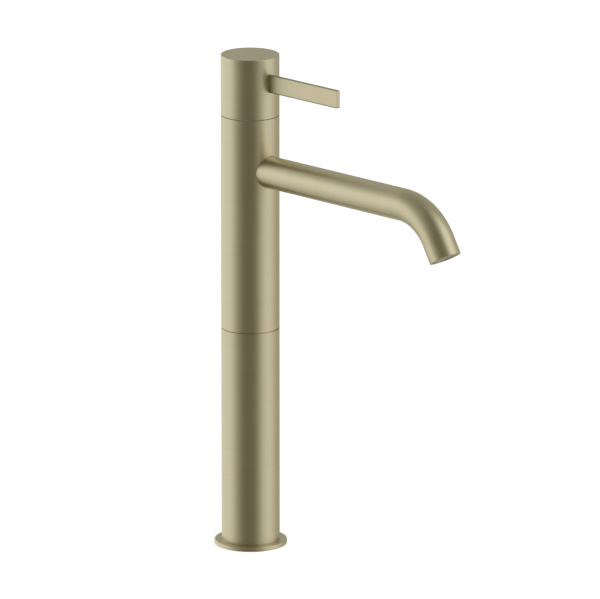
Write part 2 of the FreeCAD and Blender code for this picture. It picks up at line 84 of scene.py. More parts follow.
# Sizes that the boxes do not show
TUBE_BORE_R = 17 * MM
LIP_BORE_R = 15.5 * MM
LIP_Z = 299 * MM
CAP_BORE_R = 16.5 * MM
CAP_TOP_T = 4 * MM
FLANGE_BORE_R = 16.7 * MM
SEAL_WIDTH = 2.9 * MM
SEAL_GROOVE_WIDTH = 3 * MM
SHANK_BORE_R = 13.5 * MM
SHANK_PITCH = 1.5 * MM
SHANK_GROOVE = (-47.2 * MM, -46 * MM)
SHANK_THREAD_TOP = -0.6 * MM
SPOUT_BORE_R = 8.5 * MM
SPOUT_RUN = 146 * MM
SPOUT_BEND = math.radians(60)
SPOUT_BEND_R = 38.5 * MM
SPOUT_TIP = 12.7 * MM
AERATOR_BORE_R = 9.5 * MM
AERATOR_DEPTH = 10.5 * MM
LEVER_ROOT_X = 18.2 * MM
LEVER_T = 3 * MM
LEVER_CORNER_R = 1 * MM
STUD_R = 3 * MM
STUD_PITCH = 1 * MM
SCREW_R = 2 * MM
SCREW_PITCH = 0.7 * MM

# Play between pieces that fit into one another
FIT_GAP = 0.05 * MM
SCREW_GAP = 0.03 * MM
SPOUT_GAP = 0.06 * MM

# Rounded edges
EDGE = 0.1 * MM
INNER_EDGE = 0.15 * MM
CAP_EDGE = 0.45 * MM
FLANGE_EDGE = 0.8 * MM
SCREW_HOLE_EDGE = 0.15 * MM
ARC_STEPS = 5
QUARTER = math.pi / 2

COLUMN_SEGMENTS = 192
SPOUT_SEGMENTS = 144
FITTING_SEGMENTS = 72
PATCH_RINGS = 6

# Half the height of the stretch of wall that is remeshed around a grub screw's hole, and its levels
SCREW_WINDOW = 3 * MM
SCREW_LEVELS = 8

# Camera, aimed a little to the right of the column
VIEW_AZIMUTH = math.radians(45.143)
VIEW_ELEVATION = math.radians(14.848)
VIEW_DISTANCE = 6.0857
VIEW_AIM = Vector((0.02346, 0.02450, 0.17245))
LENS = 533.93


# Surfaces made of rings

# A place on an axis: the axis runs ahead, and side and up span the ring around it
Station = namedtuple("Station", "origin side up ahead")

# A ring of a Skin, with the length of outline before it
Row = namedtuple("Row", "radius height run ring")

# A corner of a turned outline, and the radius that rounds it
Corner = namedtuple("Corner", "radius height round", defaults=(0.0,))

UPRIGHT = Station(ORIGIN, X, Y, Z)


def rounded(corners, closed=True):
    """An anticlockwise outline with rounded corners, as (radius, height, lean outward, lean upward).

    The lean is the surface's normal. An outline that isn't closed keeps its two ends as they are.
    """
    nearly_straight = 1e-4
    outline = []
    count = len(corners)
    for index, corner in enumerate(corners):
        here = Vector((corner.radius, corner.height))
        if not closed and index in (0, count - 1):
            neighbour = corners[1] if index == 0 else corners[-2]
            other = Vector((neighbour.radius, neighbour.height))
            way = (other - here if index == 0 else here - other).normalized()
            outline.append((here.x, here.y, way.y, -way.x))
            continue
        before = corners[index - 1]
        after = corners[(index + 1) % count]
        arrive = (here - Vector((before.radius, before.height))).normalized()
        leave = (Vector((after.radius, after.height)) - here).normalized()
        turn = math.atan2(arrive.x * leave.y - arrive.y * leave.x, arrive.dot(leave))
        if corner.round == 0 or abs(turn) < nearly_straight:
            outline.append((here.x, here.y, arrive.y, -arrive.x))
            continue
        start = here - arrive * corner.round * math.tan(abs(turn) / 2)
        hand = math.copysign(1, turn)
        centre = start - Vector((arrive.y, -arrive.x)) * corner.round * hand
        for step in range(ARC_STEPS + 1):
            angle = turn * step / ARC_STEPS
            lean = Vector((
                arrive.y * math.cos(angle) + arrive.x * math.sin(angle),
                -arrive.x * math.cos(angle) + arrive.y * math.sin(angle),
            ))
            spot = centre + lean * corner.round * hand
            outline.append((spot.x, spot.y, lean.x, lean.y))
    return outline


def evenly(start, end, count):
    """count + 1 values from start to end."""
    return [start + (end - start) * index / count for index in range(count + 1)]


class Skin:
    """A closed surface made of rings of points, with exact normals, whose walls can be drilled.

    Each point also has a run: the length of surface from the first ring, which the brushing follows.
    """

    def __init__(self, segments):
        self.segments = segments
        self.points = []
        self.normals = []
        self.runs = []
        self.rows = []
        self.faces = []
        self.face_runs = []
        self.gaps = {}

    def point(self, place, normal, run):
        self.points.append(place)
        self.normals.append(normal.normalized())
        self.runs.append(run)
        return len(self.points) - 1

    def face(self, corners, lifts=None):
        """A face through those points. lifts are added to its own copies of the points' runs."""
        lifts = lifts or [0.0] * len(corners)
        self.faces.append(tuple(corners))
        self.face_runs.append([self.runs[c] + lift for c, lift in zip(corners, lifts)])

    def bridge(self, low, high, gaps=(), lift=0.0):
        """Quads between two closed rings, except in the columns listed in gaps."""
        count = len(low)
        for column in range(count):
            if column not in gaps:
                beside = (column + 1) % count
                self.face((low[column], low[beside], high[beside], high[column]), (0, 0, lift, lift))

    def fan(self, ring, centre, normal, outward):
        """Triangles from a ring to a point in its middle."""
        first = self.points[ring[0]]
        middle = self.point(centre, normal, self.runs[ring[0]] + (centre - first).length)
        for column, low in enumerate(ring):
            beside = ring[(column + 1) % len(ring)]
            self.face((low, beside, middle) if outward else (beside, low, middle))

    def revolve(self, outline, station_at):
        """One row of points for each point of the outline, about the axis at that height."""
        run = 0.0
        for index, (radius, height, lean_out, lean_up) in enumerate(outline):
            if index:
                run += math.hypot(radius - outline[index - 1][0], height - outline[index - 1][1])
            station = station_at(height)
            ring = []
            for column in range(self.segments):
                angle = TAU * column / self.segments
                spoke = station.side * math.cos(angle) + station.up * math.sin(angle)
                normal = spoke * lean_out + station.ahead * lean_up
                ring.append(self.point(station.origin + spoke * radius, normal, run))
            self.rows.append(Row(radius, height, run, ring))

    def window(self, radius, height, half_height, columns):
        """Opens a wall and returns the points around the opening, anticlockwise from outside."""
        wall = [
            index for index, row in enumerate(self.rows)
            if abs(row.radius - radius) < TINY and abs(row.height - height) < half_height + TINY
        ]
        for index in wall[:-1]:
            self.gaps.setdefault(index, set()).update(c % self.segments for c in columns[:-1])
        rising = sorted(wall, key=lambda index: self.rows[index].height)
        rings = [self.rows[index].ring for index in rising]
        cells = [(0, column) for column in columns]
        cells += [(level, columns[-1]) for level in range(1, len(rings))]
        cells += [(len(rings) - 1, column) for column in reversed(columns[:-1])]
        cells += [(level, columns[0]) for level in reversed(range(1, len(rings) - 1))]
        return [rings[level][column % self.segments] for level, column in cells]

    def drill(self, station, wall_r, middle_column, half_columns, height, half_height, hole, lip,
              floor_r=None, bore_r=None):
        """A hole in a straight wall about station's axis.

        It is blind with its floor at floor_r, or goes through the wall to bore_r. hole gives its rim,
        and lip is the radius of its edges.
        """
        columns = list(range(middle_column - half_columns, middle_column + half_columns + 1))
        middle = TAU * middle_column / self.segments
        out = station.side * math.cos(middle) + station.up * math.sin(middle)
        across = station.ahead.cross(out)
        outside_from = 0.0 if bore_r is None else (bore_r + wall_r) / 2

        def offsets(ring):
            """Offsets of points from the hole's axis, across the wall and along it."""
            rel = [self.points[p] - station.origin for p in ring]
            return [(r.dot(across), r.dot(station.ahead) - height) for r in rel]

        def ring_at(places, radius, inward):
            """A ring on the cylinder of that radius.

            inward is the angle by which its normals tilt from the wall's to the hole's own.
            """
            ring = []
            for side, rise, lean_side, lean_rise in places:
                spoke = out * math.sqrt(max(radius * radius - side * side, 0)) + across * side
                place = station.origin + station.ahead * (height + rise) + spoke
                outward = spoke.normalized() * (1 if radius > outside_from else -1)
                wall_normal = -(across * lean_side + station.ahead * lean_rise)
                normal = outward * math.cos(inward) + wall_normal * math.sin(inward)
                ring.append(self.point(place, normal, base_run + rise))
            return ring

        def patch(edge, radius):
            """Rings between an opening's edge and the hole's lip on one wall, from the edge inward."""
            edges = offsets(edge)
            rim = [hole(*offset) for offset in edges]
            made = []
            for step in range(1, PATCH_RINGS + 1):
                share = step / PATCH_RINGS
                places = []
                for (side, rise), (hole_side, hole_rise, lean_side, lean_rise) in zip(edges, rim):
                    lip_side = hole_side + lean_side * lip
                    lip_rise = hole_rise + lean_rise * lip
                    places.append((side + (lip_side - side) * share, rise + (lip_rise - rise) * share,
                                   lean_side, lean_rise))
                made.append(ring_at(places, radius, 0.0))
            return made, rim

        edge = self.window(wall_r, height, half_height, columns)
        base_run = self.runs[edge[0]] - offsets(edge)[0][1]
        rings, rim = patch(edge, wall_r)
        chain = [edge] + rings
        for step in range(1, ARC_STEPS + 1):
            angle = QUARTER * step / ARC_STEPS
            grow = lip * (1 - math.sin(angle))
            places = [(s + a * grow, r + b * grow, a, b) for s, r, a, b in rim]
            chain.append(ring_at(places, wall_r - lip * (1 - math.cos(angle)), angle))
        if bore_r is None:
            chain.append(ring_at(rim, floor_r + lip, QUARTER))
            for step in range(1, ARC_STEPS + 1):
                angle = QUARTER * step / ARC_STEPS
                shrink = -lip * (1 - math.cos(angle))
                places = [(s + a * shrink, r + b * shrink, a, b) for s, r, a, b in rim]
                chain.append(ring_at(places, floor_r + lip * (1 - math.sin(angle)), QUARTER - angle))
        else:
            chain.append(ring_at(rim, bore_r + lip, QUARTER))
            for step in range(1, ARC_STEPS):
                angle = QUARTER * step / ARC_STEPS
                grow = lip * (1 - math.cos(angle))
                places = [(s + a * grow, r + b * grow, a, b) for s, r, a, b in rim]
                chain.append(ring_at(places, bore_r + lip * (1 - math.sin(angle)), QUARTER - angle))
            inner_edge = self.window(bore_r, height, half_height, columns)
            inner_rings, _ = patch(inner_edge, bore_r)
            chain += inner_rings[::-1] + [inner_edge]
        for low, high in zip(chain, chain[1:]):
            self.bridge(low, high)
        if bore_r is None:
            self.fan(chain[-1], station.origin + station.ahead * height + out * floor_r, out, True)

    def close(self, closed=True):
        """Joins the rows. Where the outline is open, its ends are on the axis and close to a point."""
        for index, (low, high) in enumerate(zip(self.rows, self.rows[1:])):
            self.bridge(low.ring, high.ring, self.gaps.get(index, ()))
        if closed:
            first, last = self.rows[0], self.rows[-1]
            gap = math.hypot(first.radius - last.radius, first.height - last.height)
            self.bridge(last.ring, first.ring, (), last.run + gap - first.run)

    def build(self, name, material):
        """The mesh object, without the points that no face uses."""
        used = sorted({corner for corners in self.faces for corner in corners})
        renumber = {old: new for new, old in enumerate(used)}
        mesh = bpy.data.meshes.new(name)
        faces = [[renumber[corner] for corner in face] for face in self.faces]
        mesh.from_pydata([self.points[index] for index in used], [], faces)
        run = mesh.attributes.new("run", "FLOAT", "CORNER")
        run.data.foreach_set("value", [value for runs in self.face_runs for value in runs])
        mesh.shade_smooth()
        mesh.normals_split_custom_set_from_vertices([self.normals[index] for index in used])
        mesh.materials.append(material)
        piece = bpy.data.objects.new(name, mesh)
        bpy.context.scene.collection.objects.link(piece)
        return piece


def finish_piece(piece, body, slot, *nodes):
    """Puts a finished piece on its body, in place of its CAD nodes. slot is not used."""
    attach(piece, body)
    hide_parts(*nodes)


def round_hole(radius):
    """A round hole's rim: from a point of the opening's edge to the rim's point and its lean outward."""
    def rim(side, rise):
        away = math.hypot(side, rise)
        return side / away * radius, rise / away * radius, side / away, rise / away
    return rim


def slot_hole(half_width, half_rise, window_half_width, window_half_rise):
    """A rectangular hole's rim: the opening's own edge, shrunk."""
    near_edge = 0.98

    def rim(side, rise):
        share_side = side / window_half_width
        share_rise = rise / window_half_rise
        lean_side = math.copysign(max(0.0, (abs(share_side) - near_edge) / (1 - near_edge)), side)
        lean_rise = math.copysign(max(0.0, (abs(share_rise) - near_edge) / (1 - near_edge)), rise)
        size = math.hypot(lean_side, lean_rise)
        return share_side * half_width, share_rise * half_rise, lean_side / size, lean_rise / size
    return rim


# Lofted fittings, made about Z

# One pitch of thread, as shares of its depth: the root's flat, a flank, the crest's flat, a flank
THREAD_PROFILE = (0, 0, 1 / 3, 2 / 3, 1, 1, 2 / 3, 1 / 3)

# Depth of a metric screw's thread, in pitches
THREAD_DEPTH = 0.6134

WELD = 1e-6
SHARP_FROM = math.radians(30)


def around(radius, height):
    """A ring of points about Z. The radius may be a function of the angle, and so may the height."""
    ring = []
    for column in range(FITTING_SEGMENTS):
        angle = TAU * column / FITTING_SEGMENTS
        reach = radius(angle) if callable(radius) else radius
        level = height(angle) if callable(height) else height
        ring.append(Vector((reach * math.cos(angle), reach * math.sin(angle), level)))
    return ring


def hexagonal(flats):
    """Radius of a hexagon by angle, with a corner on +X."""
    def radius(angle):
        return flats / 2 / math.cos(angle % (math.pi / 3) - math.pi / 6)
    return radius


def loft(mesh, *rings):
    """Quads between rings, each with the next. A ring of radius 0 closes to a point."""
    made = [[mesh.verts.new(place) for place in ring] for ring in rings]
    for low, high in zip(made, made[1:]):
        for column in range(len(low)):
            beside = (column + 1) % len(low)
            mesh.faces.new((low[column], low[beside], high[beside], high[column]))


def thread_root(crest_r, pitch):
    return crest_r - THREAD_DEPTH * pitch


def thread(mesh, crest_r, pitch, low, high, ends_r):
    """A right-handed metric thread about Z, from low to high, running out to ends_r at both ends.

    Its rows of points climb one pitch in a turn, so each row joins the one a turn above where it closes.
    Points beyond low or high are pressed flat there, and are welded later.
    """
    depth = THREAD_DEPTH * pitch
    turn = len(THREAD_PROFILE)
    first = math.floor(low / pitch) * turn
    count = math.ceil((high - low) / pitch + 2) * turn
    rows = []
    for row in range(first - turn, first + count + 1):
        verts = []
        for column in range(FITTING_SEGMENTS):
            height = min(max(pitch * (row / turn + column / FITTING_SEGMENTS), low), high)
            full = min(1, (height - low) / pitch, (high - height) / pitch)
            cut_r = crest_r - depth * (1 - THREAD_PROFILE[row % turn])
            reach = ends_r + (cut_r - ends_r) * full
            angle = TAU * column / FITTING_SEGMENTS
            verts.append(mesh.verts.new((reach * math.cos(angle), reach * math.sin(angle), height)))
        rows.append(verts)
    for row in range(len(rows) - turn - 1):
        for column in range(FITTING_SEGMENTS):
            last = column + 1 == FITTING_SEGMENTS
            beside = rows[row + turn][0] if last else rows[row][column + 1]
            above = rows[row + turn + 1][0] if last else rows[row + 1][column + 1]
            mesh.faces.new((rows[row][column], beside, above, rows[row + 1][column]))


def lying(height):
    """Lays a fitting made about Z along +X at a height."""
    return Matrix.Translation((0, 0, height)) @ Matrix.Rotation(QUARTER, 4, "Y")


def fitting(name, mesh, material, place=None):
    """Welds a lofted mesh, turns its faces outward and shades it smooth between its sharp edges."""
    bmesh.ops.remove_doubles(mesh, verts=mesh.verts, dist=WELD)
    bmesh.ops.recalc_face_normals(mesh, faces=mesh.faces)
    if place is not None:
        bmesh.ops.transform(mesh, matrix=place, verts=mesh.verts)
    data = bpy.data.meshes.new(name)
    mesh.to_mesh(data)
    mesh.free()
    data.shade_smooth()
    data.set_sharp_from_angle(angle=SHARP_FROM)
    data.materials.append(material)
    piece = bpy.data.objects.new(name, data)
    bpy.context.scene.collection.objects.link(piece)
    return piece


# Node graphs


class Graph:
    """Short ways to add nodes to a tree."""

    def __init__(self, tree):
        self.tree = tree
        tree.nodes.clear()

    def node(self, kind, inputs=None, **settings):
        node = self.tree.nodes.new(kind)
        for key, value in settings.items():
            setattr(node, key, value)
        for key, value in (inputs or {}).items():
            if isinstance(value, bpy.types.NodeSocket):
                self.tree.links.new(value, node.inputs[key])
            else:
                node.inputs[key].default_value = value
        return node

    def math(self, operation, first, second=0.0):
        return self.node("ShaderNodeMath", {0: first, 1: second}, operation=operation).outputs[0]

    def vector(self, operation, first, second):
        node = self.node("ShaderNodeVectorMath", {0: first, 1: second}, operation=operation)
        return node.outputs["Value" if operation == "DOT_PRODUCT" else "Vector"]

    def remap(self, value, low, high, to_low, to_high, smooth=False):
        kind = "SMOOTHSTEP" if smooth else "LINEAR"
        inputs = {"Value": value, "From Min": low, "From Max": high, "To Min": to_low, "To Max": to_high}
        return self.node("ShaderNodeMapRange", inputs, interpolation_type=kind).outputs["Result"]

    def noise(self, vector, detail=2.0, roughness=0.5):
        inputs = {"Vector": vector, "Scale": 1.0, "Detail": detail, "Roughness": roughness}
        return self.node("ShaderNodeTexNoise", inputs).outputs["Fac"]

    def mix_colour(self, share, first, second):
        inputs = {"Factor": share}
        node = self.node("ShaderNodeMix", inputs, data_type="RGBA")
        for key, colour in ((6, first), (7, second)):
            if isinstance(colour, bpy.types.NodeSocket):
                self.tree.links.new(colour, node.inputs[key])
            else:
                node.inputs[key].default_value = (*colour, 1.0)
        return node.outputs[2]


def new_material(name):
    material = bpy.data.materials.new(name)
    material.use_nodes = True
    return material, Graph(material.node_tree)


def set_surface(graph, inputs):
    shader = graph.node("ShaderNodeBsdfPrincipled", inputs)
    graph.node("ShaderNodeOutputMaterial", {"Surface": shader.outputs[0]})


def object_place(graph):
    return graph.node("ShaderNodeTexCoord").outputs["Object"]


def scaled(graph, vector, x, y, z):
    return graph.vector("MULTIPLY", vector, (x, y, z))


GOLD = (0.610, 0.548, 0.385)
GOLD_DEEP = (0.590, 0.526, 0.362)
# Painted shade: a darker gold laid on the lever's long narrow faces in place of dark reflections there
GOLD_PAINTED_EDGE_SHADE = (0.27, 0.235, 0.17)
GOLD_ROUGHNESS = 0.345

# Texture cells in a metre, across the brushing and along it
BRUSH_ACROSS = 6500.0
BRUSH_ALONG = 45.0


def brushed_gold(name, grain, edges=None):
    """Satin champagne gold. grain gives the texture place whose fast direction crosses the brushing.

    edges, if given, is 1 where painted shade darkens the gold, standing in for dark reflections.
    """
    material, graph = new_material(name)
    place = object_place(graph)
    across = grain(graph, place)
    fine = graph.noise(across, 3.0, 0.6)
    broad = graph.noise(graph.vector("MULTIPLY", across, (0.6, 0.6, 0.09)), 2.0)
    cloud = graph.noise(scaled(graph, place, 26, 26, 26), 3.0)
    tone = graph.math("ADD", graph.math("MULTIPLY", broad, 0.5), graph.math("MULTIPLY", cloud, 0.5))
    colour = graph.mix_colour(graph.remap(tone, 0.35, 0.65, 0.0, 1.0), GOLD_DEEP, GOLD)
    if edges:
        # Painted shade: darkens the gold where the edge mask is 1, standing in for dark reflections on the
        # lever's narrow faces
        colour = graph.mix_colour(edges(graph, place), colour, GOLD_PAINTED_EDGE_SHADE)
    streaks = graph.remap(fine, 0.3, 0.7, -0.055, 0.055)
    patches = graph.remap(cloud, 0.35, 0.65, -0.018, 0.018)
    roughness = graph.math("ADD", graph.math("ADD", streaks, patches), GOLD_ROUGHNESS)
    bump = graph.node("ShaderNodeBump", {"Height": fine, "Strength": 1.0, "Distance": 5e-6})
    set_surface(graph, {"Base Color": colour, "Metallic": 1.0, "Roughness": roughness,
                        "Normal": bump.outputs["Normal"]})
    return material


def ring_grain(graph, place):
    """Brushed round the piece: fast along the outline, slow around it."""
    run = graph.node("ShaderNodeAttribute", attribute_name="run").outputs["Fac"]
    along = graph.node("ShaderNodeCombineXYZ", {"Z": graph.math("MULTIPLY", run, BRUSH_ACROSS)}).outputs[0]
    return graph.vector("ADD", scaled(graph, place, BRUSH_ALONG, BRUSH_ALONG, 0), along)


def length_grain(graph, place):
    """Brushed along X."""
    return scaled(graph, place, BRUSH_ALONG, BRUSH_ACROSS, BRUSH_ACROSS)


def blade_painted_edge_shade(graph, place):
    """Painted shade on the lever: its long narrow faces, and a thin line beside them that is wider and
    darker below, darkened to stand in for dark reflections.
    """
    height = graph.node("ShaderNodeSeparateXYZ", {0: place}).outputs["Z"]
    above = graph.remap(height, LEVER_HIGH.z - 0.6 * MM, LEVER_HIGH.z - 0.2 * MM, 0.0, 0.62, True)
    below = graph.remap(height, LEVER_LOW.z + 0.65 * MM, LEVER_LOW.z + 1.0 * MM, 1.0, 0.0, True)
    return graph.math("MAXIMUM", above, below)


def turned_metal(name, colour, roughness):
    """Machined metal with faint tool marks along Z and small tone changes."""
    material, graph = new_material(name)
    place = object_place(graph)
    marks = graph.noise(scaled(graph, place, 60, 60, 5200), 3.0)
    cloud = graph.noise(scaled(graph, place, 90, 90, 90), 4.0)
    darker = tuple(channel * 0.86 for channel in colour)
    shade = graph.mix_colour(graph.remap(cloud, 0.35, 0.65, 0.0, 1.0), darker, colour)
    rough = graph.math("ADD", graph.remap(marks, 0.3, 0.7, -0.05, 0.05), roughness)
    bump = graph.node("ShaderNodeBump", {"Height": marks, "Strength": 1.0, "Distance": 3e-6})
    set_surface(graph, {"Base Color": shade, "Metallic": 1.0, "Roughness": rough,
                        "Normal": bump.outputs["Normal"]})
    return material


def moulded(name, colour, roughness, grain_size, depth, ior=1.5):
    """Moulded plastic, rubber or ceramic: a fine even grain, depth deep, with slow tone changes."""
    material, graph = new_material(name)
    place = object_place(graph)
    scale = 1 / grain_size
    grain = graph.noise(scaled(graph, place, scale, scale, scale), 3.0)
    cloud = graph.noise(scaled(graph, place, 120, 120, 120), 3.0)
    darker = tuple(channel * 0.88 for channel in colour)
    shade = graph.mix_colour(graph.remap(cloud, 0.35, 0.65, 0.0, 1.0), darker, colour)
    rough = graph.math("ADD", graph.remap(grain, 0.3, 0.7, -0.04, 0.04), roughness)
    bump = graph.node("ShaderNodeBump", {"Height": grain, "Strength": 1.0, "Distance": depth})
    set_surface(graph, {"Base Color": shade, "Roughness": rough, "IOR": ior,
                        "Normal": bump.outputs["Normal"]})
    return material


ring_gold = brushed_gold("gold_brushed_round", ring_grain)
# The lever's gold carries painted shade along its long narrow faces
blade_gold = brushed_gold("gold_brushed_blade", length_grain, blade_painted_edge_shade)
SLOT_MATERIALS = {
    "brushed_gold": ring_gold,
    "raw_brass": turned_metal("raw_brass", (0.72, 0.53, 0.24), 0.30),
    "stainless": turned_metal("stainless", (0.62, 0.61, 0.59), 0.28),
    "black_rubber": moulded("black_rubber", (0.022, 0.022, 0.023), 0.55, 0.12 * MM, 6e-6),
    "disc_ceramic": moulded("disc_ceramic", (0.86, 0.85, 0.81), 0.16, 0.05 * MM, 5e-7, 1.7),
    "white_acetal": moulded("white_acetal", (0.78, 0.78, 0.74), 0.38, 0.1 * MM, 2e-6),
    "dark_plastic": moulded("dark_plastic", (0.035, 0.035, 0.038), 0.42, 0.1 * MM, 4e-6),
    "aerator_plastic": moulded("aerator_plastic", (0.47, 0.44, 0.37), 0.35, 0.1 * MM, 2e-6),
}


def paint_cad_nodes():
    """Every CAD node that stays gets its slot's material."""
    for row in frame["record"]["subparts"]:
        node = frame["nodes"][row["node"]]
        node.data.materials.clear()
        node.data.materials.append(SLOT_MATERIALS[row["material_slot"]])


# Pieces of the column


def upright(height):
    return Station(Vector((0, 0, height)), X, Y, Z)


def turned_piece(name, corners):
    skin = Skin(COLUMN_SEGMENTS)
    skin.revolve(rounded(corners), upright)
    skin.close()
    return skin.build(name, ring_gold)


def make_base_flange():
    """The flange, with the seal's groove underneath."""
    groove_inner_r = SEAL_HIGH.x - SEAL_GROOVE_WIDTH
    groove_outer_r = SEAL_HIGH.x + FIT_GAP
    piece = turned_piece("base_flange_satin", [
        Corner(FLANGE_BORE_R, FLANGE_LOW.z, INNER_EDGE),
        Corner(groove_inner_r, FLANGE_LOW.z, INNER_EDGE), Corner(groove_inner_r, SEAL_HIGH.z, INNER_EDGE),
        Corner(groove_outer_r, SEAL_HIGH.z, INNER_EDGE), Corner(groove_outer_r, FLANGE_LOW.z, INNER_EDGE),
        Corner(FLANGE_HIGH.x, FLANGE_LOW.z, EDGE), Corner(FLANGE_HIGH.x, FLANGE_HIGH.z, FLANGE_EDGE),
        Corner(FLANGE_BORE_R, FLANGE_HIGH.z, INNER_EDGE),
    ])
    finish_piece(piece, "faucet_body", "brushed_gold", "base_flange")


def make_extension_tube():
    """The lower length of the column, whose foot narrows to the shank's thread."""
    shelf = SHANK_HIGH.z + 1 * MM
    piece = turned_piece("extension_tube_satin", [
        Corner(SHANK_HIGH.x, TUBE_LOW.z, INNER_EDGE), Corner(COLUMN_R, TUBE_LOW.z, EDGE),
        Corner(COLUMN_R, TUBE_HIGH.z, EDGE), Corner(TUBE_BORE_R, TUBE_HIGH.z, INNER_EDGE),
        Corner(TUBE_BORE_R, shelf, INNER_EDGE), Corner(SHANK_HIGH.x, shelf, INNER_EDGE),
    ])
    finish_piece(piece, "faucet_body", "brushed_gold", "extension_tube")


def make_upper_body():
    """The upper length of the column, with a hole that the spout passes through."""
    window_half = 14 * MM
    window_levels = 24
    window_half_columns = 25
    hole_edge = 0.1 * MM
    levels = evenly(SPOUT_Z - window_half, SPOUT_Z + window_half, window_levels)
    corners = [Corner(TUBE_BORE_R, BODY_LOW.z, INNER_EDGE), Corner(COLUMN_R, BODY_LOW.z, EDGE)]
    corners += [Corner(COLUMN_R, level) for level in levels]
    corners += [
        Corner(COLUMN_R, BODY_HIGH.z, EDGE), Corner(LIP_BORE_R, BODY_HIGH.z, INNER_EDGE),
        Corner(LIP_BORE_R, LIP_Z, INNER_EDGE), Corner(TUBE_BORE_R, LIP_Z, INNER_EDGE),
    ]
    corners += [Corner(TUBE_BORE_R, level) for level in reversed(levels)]
    skin = Skin(COLUMN_SEGMENTS)
    skin.revolve(rounded(corners), upright)
    skin.drill(UPRIGHT, COLUMN_R, 0, window_half_columns, SPOUT_Z, window_half,
               round_hole(SPOUT_R + SPOUT_GAP), hole_edge, bore_r=TUBE_BORE_R)
    skin.close()
    finish_piece(skin.build("upper_body_satin", ring_gold), "faucet_body", "brushed_gold", "upper_body")


def make_handle_cap():
    """The turning cap, with the lever's pocket in front and the grub screw's hole at the back."""
    screw_z = (CAP_SCREW_LOW.z + CAP_SCREW_HIGH.z) / 2
    screw_half_columns = 6
    pocket_half = LEVER_HALF_H + 1.2 * MM
    pocket_edge = 0.12 * MM
    centre_r = 0.3 * MM
    ceiling = CAP_HIGH.z - CAP_TOP_T
    ceiling_edge = 0.5 * MM
    screw_levels = evenly(screw_z - SCREW_WINDOW, screw_z + SCREW_WINDOW, SCREW_LEVELS)
    pocket_levels = evenly(LEVER_Z - pocket_half, LEVER_Z + pocket_half, 16)
    corners = [Corner(centre_r, ceiling), Corner(CAP_BORE_R, ceiling, ceiling_edge)]
    corners += [Corner(CAP_BORE_R, level) for level in reversed(screw_levels)]
    corners += [Corner(CAP_BORE_R, CAP_LOW.z, INNER_EDGE), Corner(COLUMN_R, CAP_LOW.z, EDGE)]
    corners += [Corner(COLUMN_R, level) for level in screw_levels + pocket_levels]
    corners += [Corner(COLUMN_R, CAP_HIGH.z, CAP_EDGE), Corner(centre_r, CAP_HIGH.z)]
    skin = Skin(COLUMN_SEGMENTS)
    skin.revolve(rounded(corners, closed=False), upright)
    half_columns = 7
    window_half_width = COLUMN_R * math.sin(TAU * half_columns / COLUMN_SEGMENTS)
    pocket = slot_hole(LEVER_T / 2 + FIT_GAP, LEVER_HALF_H + FIT_GAP, window_half_width, pocket_half)
    skin.drill(UPRIGHT, COLUMN_R, 0, half_columns, LEVER_Z, pocket_half, pocket, pocket_edge,
               floor_r=LEVER_ROOT_X)
    skin.drill(UPRIGHT, COLUMN_R, COLUMN_SEGMENTS // 2, screw_half_columns, screw_z, SCREW_WINDOW,
               round_hole(SCREW_R + SCREW_GAP), SCREW_HOLE_EDGE, bore_r=CAP_BORE_R)
    skin.close(closed=False)
    skin.fan(skin.rows[0].ring, Vector((0, 0, ceiling)), -Z, False)
    skin.fan(skin.rows[-1].ring, Vector((0, 0, CAP_HIGH.z)), Z, True)
    finish_piece(skin.build("handle_cap_satin", ring_gold), "handle", "brushed_gold", "handle_cap")


def make_spout():
    """The spout tube: straight, bent down, and cut square at the outlet, with the aerator's counterbore."""
    bend_start = SPOUT_RUN - SPOUT_LOW.x
    bend_length = SPOUT_BEND * SPOUT_BEND_R
    end = bend_start + bend_length + SPOUT_TIP

    def station_at(distance):
        if distance <= bend_start:
            return Station(Vector((SPOUT_LOW.x + distance, 0, SPOUT_Z)), Y, Z, X)
        bent = min((distance - bend_start) / SPOUT_BEND_R, SPOUT_BEND)
        beyond = max(distance - bend_start - bend_length, 0)
        ahead = Vector((math.cos(bent), 0, -math.sin(bent)))
        up = Vector((math.sin(bent), 0, math.cos(bent)))
        turn_centre = Vector((SPOUT_RUN, 0, SPOUT_Z - SPOUT_BEND_R))
        return Station(turn_centre + up * SPOUT_BEND_R + ahead * beyond, Y, up, ahead)

    screw_at = (SPOUT_SCREW_LOW.x + SPOUT_SCREW_HIGH.x) / 2 - SPOUT_LOW.x
    screw_half_columns = 8
    straight_levels = 18
    bend_levels = 40
    levels = evenly(screw_at - SCREW_WINDOW, screw_at + SCREW_WINDOW, SCREW_LEVELS)
    levels += evenly(screw_at + SCREW_WINDOW, bend_start, straight_levels)[1:]
    levels += evenly(bend_start, bend_start + bend_length, bend_levels)[1:]
    shelf = end - AERATOR_DEPTH
    clear_of_shelf = shelf - 0.5 * MM
    outer_edge = 0.2 * MM
    mouth_edge = 0.3 * MM
    corners = [Corner(SPOUT_BORE_R, 0, INNER_EDGE), Corner(SPOUT_R, 0, EDGE)]
    corners += [Corner(SPOUT_R, level) for level in levels]
    corners += [
        Corner(SPOUT_R, end, outer_edge), Corner(AERATOR_BORE_R, end, mouth_edge),
        Corner(AERATOR_BORE_R, shelf, INNER_EDGE), Corner(SPOUT_BORE_R, shelf, INNER_EDGE),
    ]
    corners += [Corner(SPOUT_BORE_R, level) for level in reversed(levels) if level < clear_of_shelf]
    skin = Skin(SPOUT_SEGMENTS)
    skin.revolve(rounded(corners), station_at)
    straight = Station(Vector((SPOUT_LOW.x, 0, SPOUT_Z)), Y, Z, X)
    skin.drill(straight, SPOUT_R, 3 * SPOUT_SEGMENTS // 4, screw_half_columns, screw_at, SCREW_WINDOW,
               round_hole(SCREW_R + SCREW_GAP), SCREW_HOLE_EDGE, bore_r=SPOUT_BORE_R)
    skin.close()
    finish_piece(skin.build("spout_tube_satin", ring_gold), "faucet_body", "brushed_gold", "spout_tube")


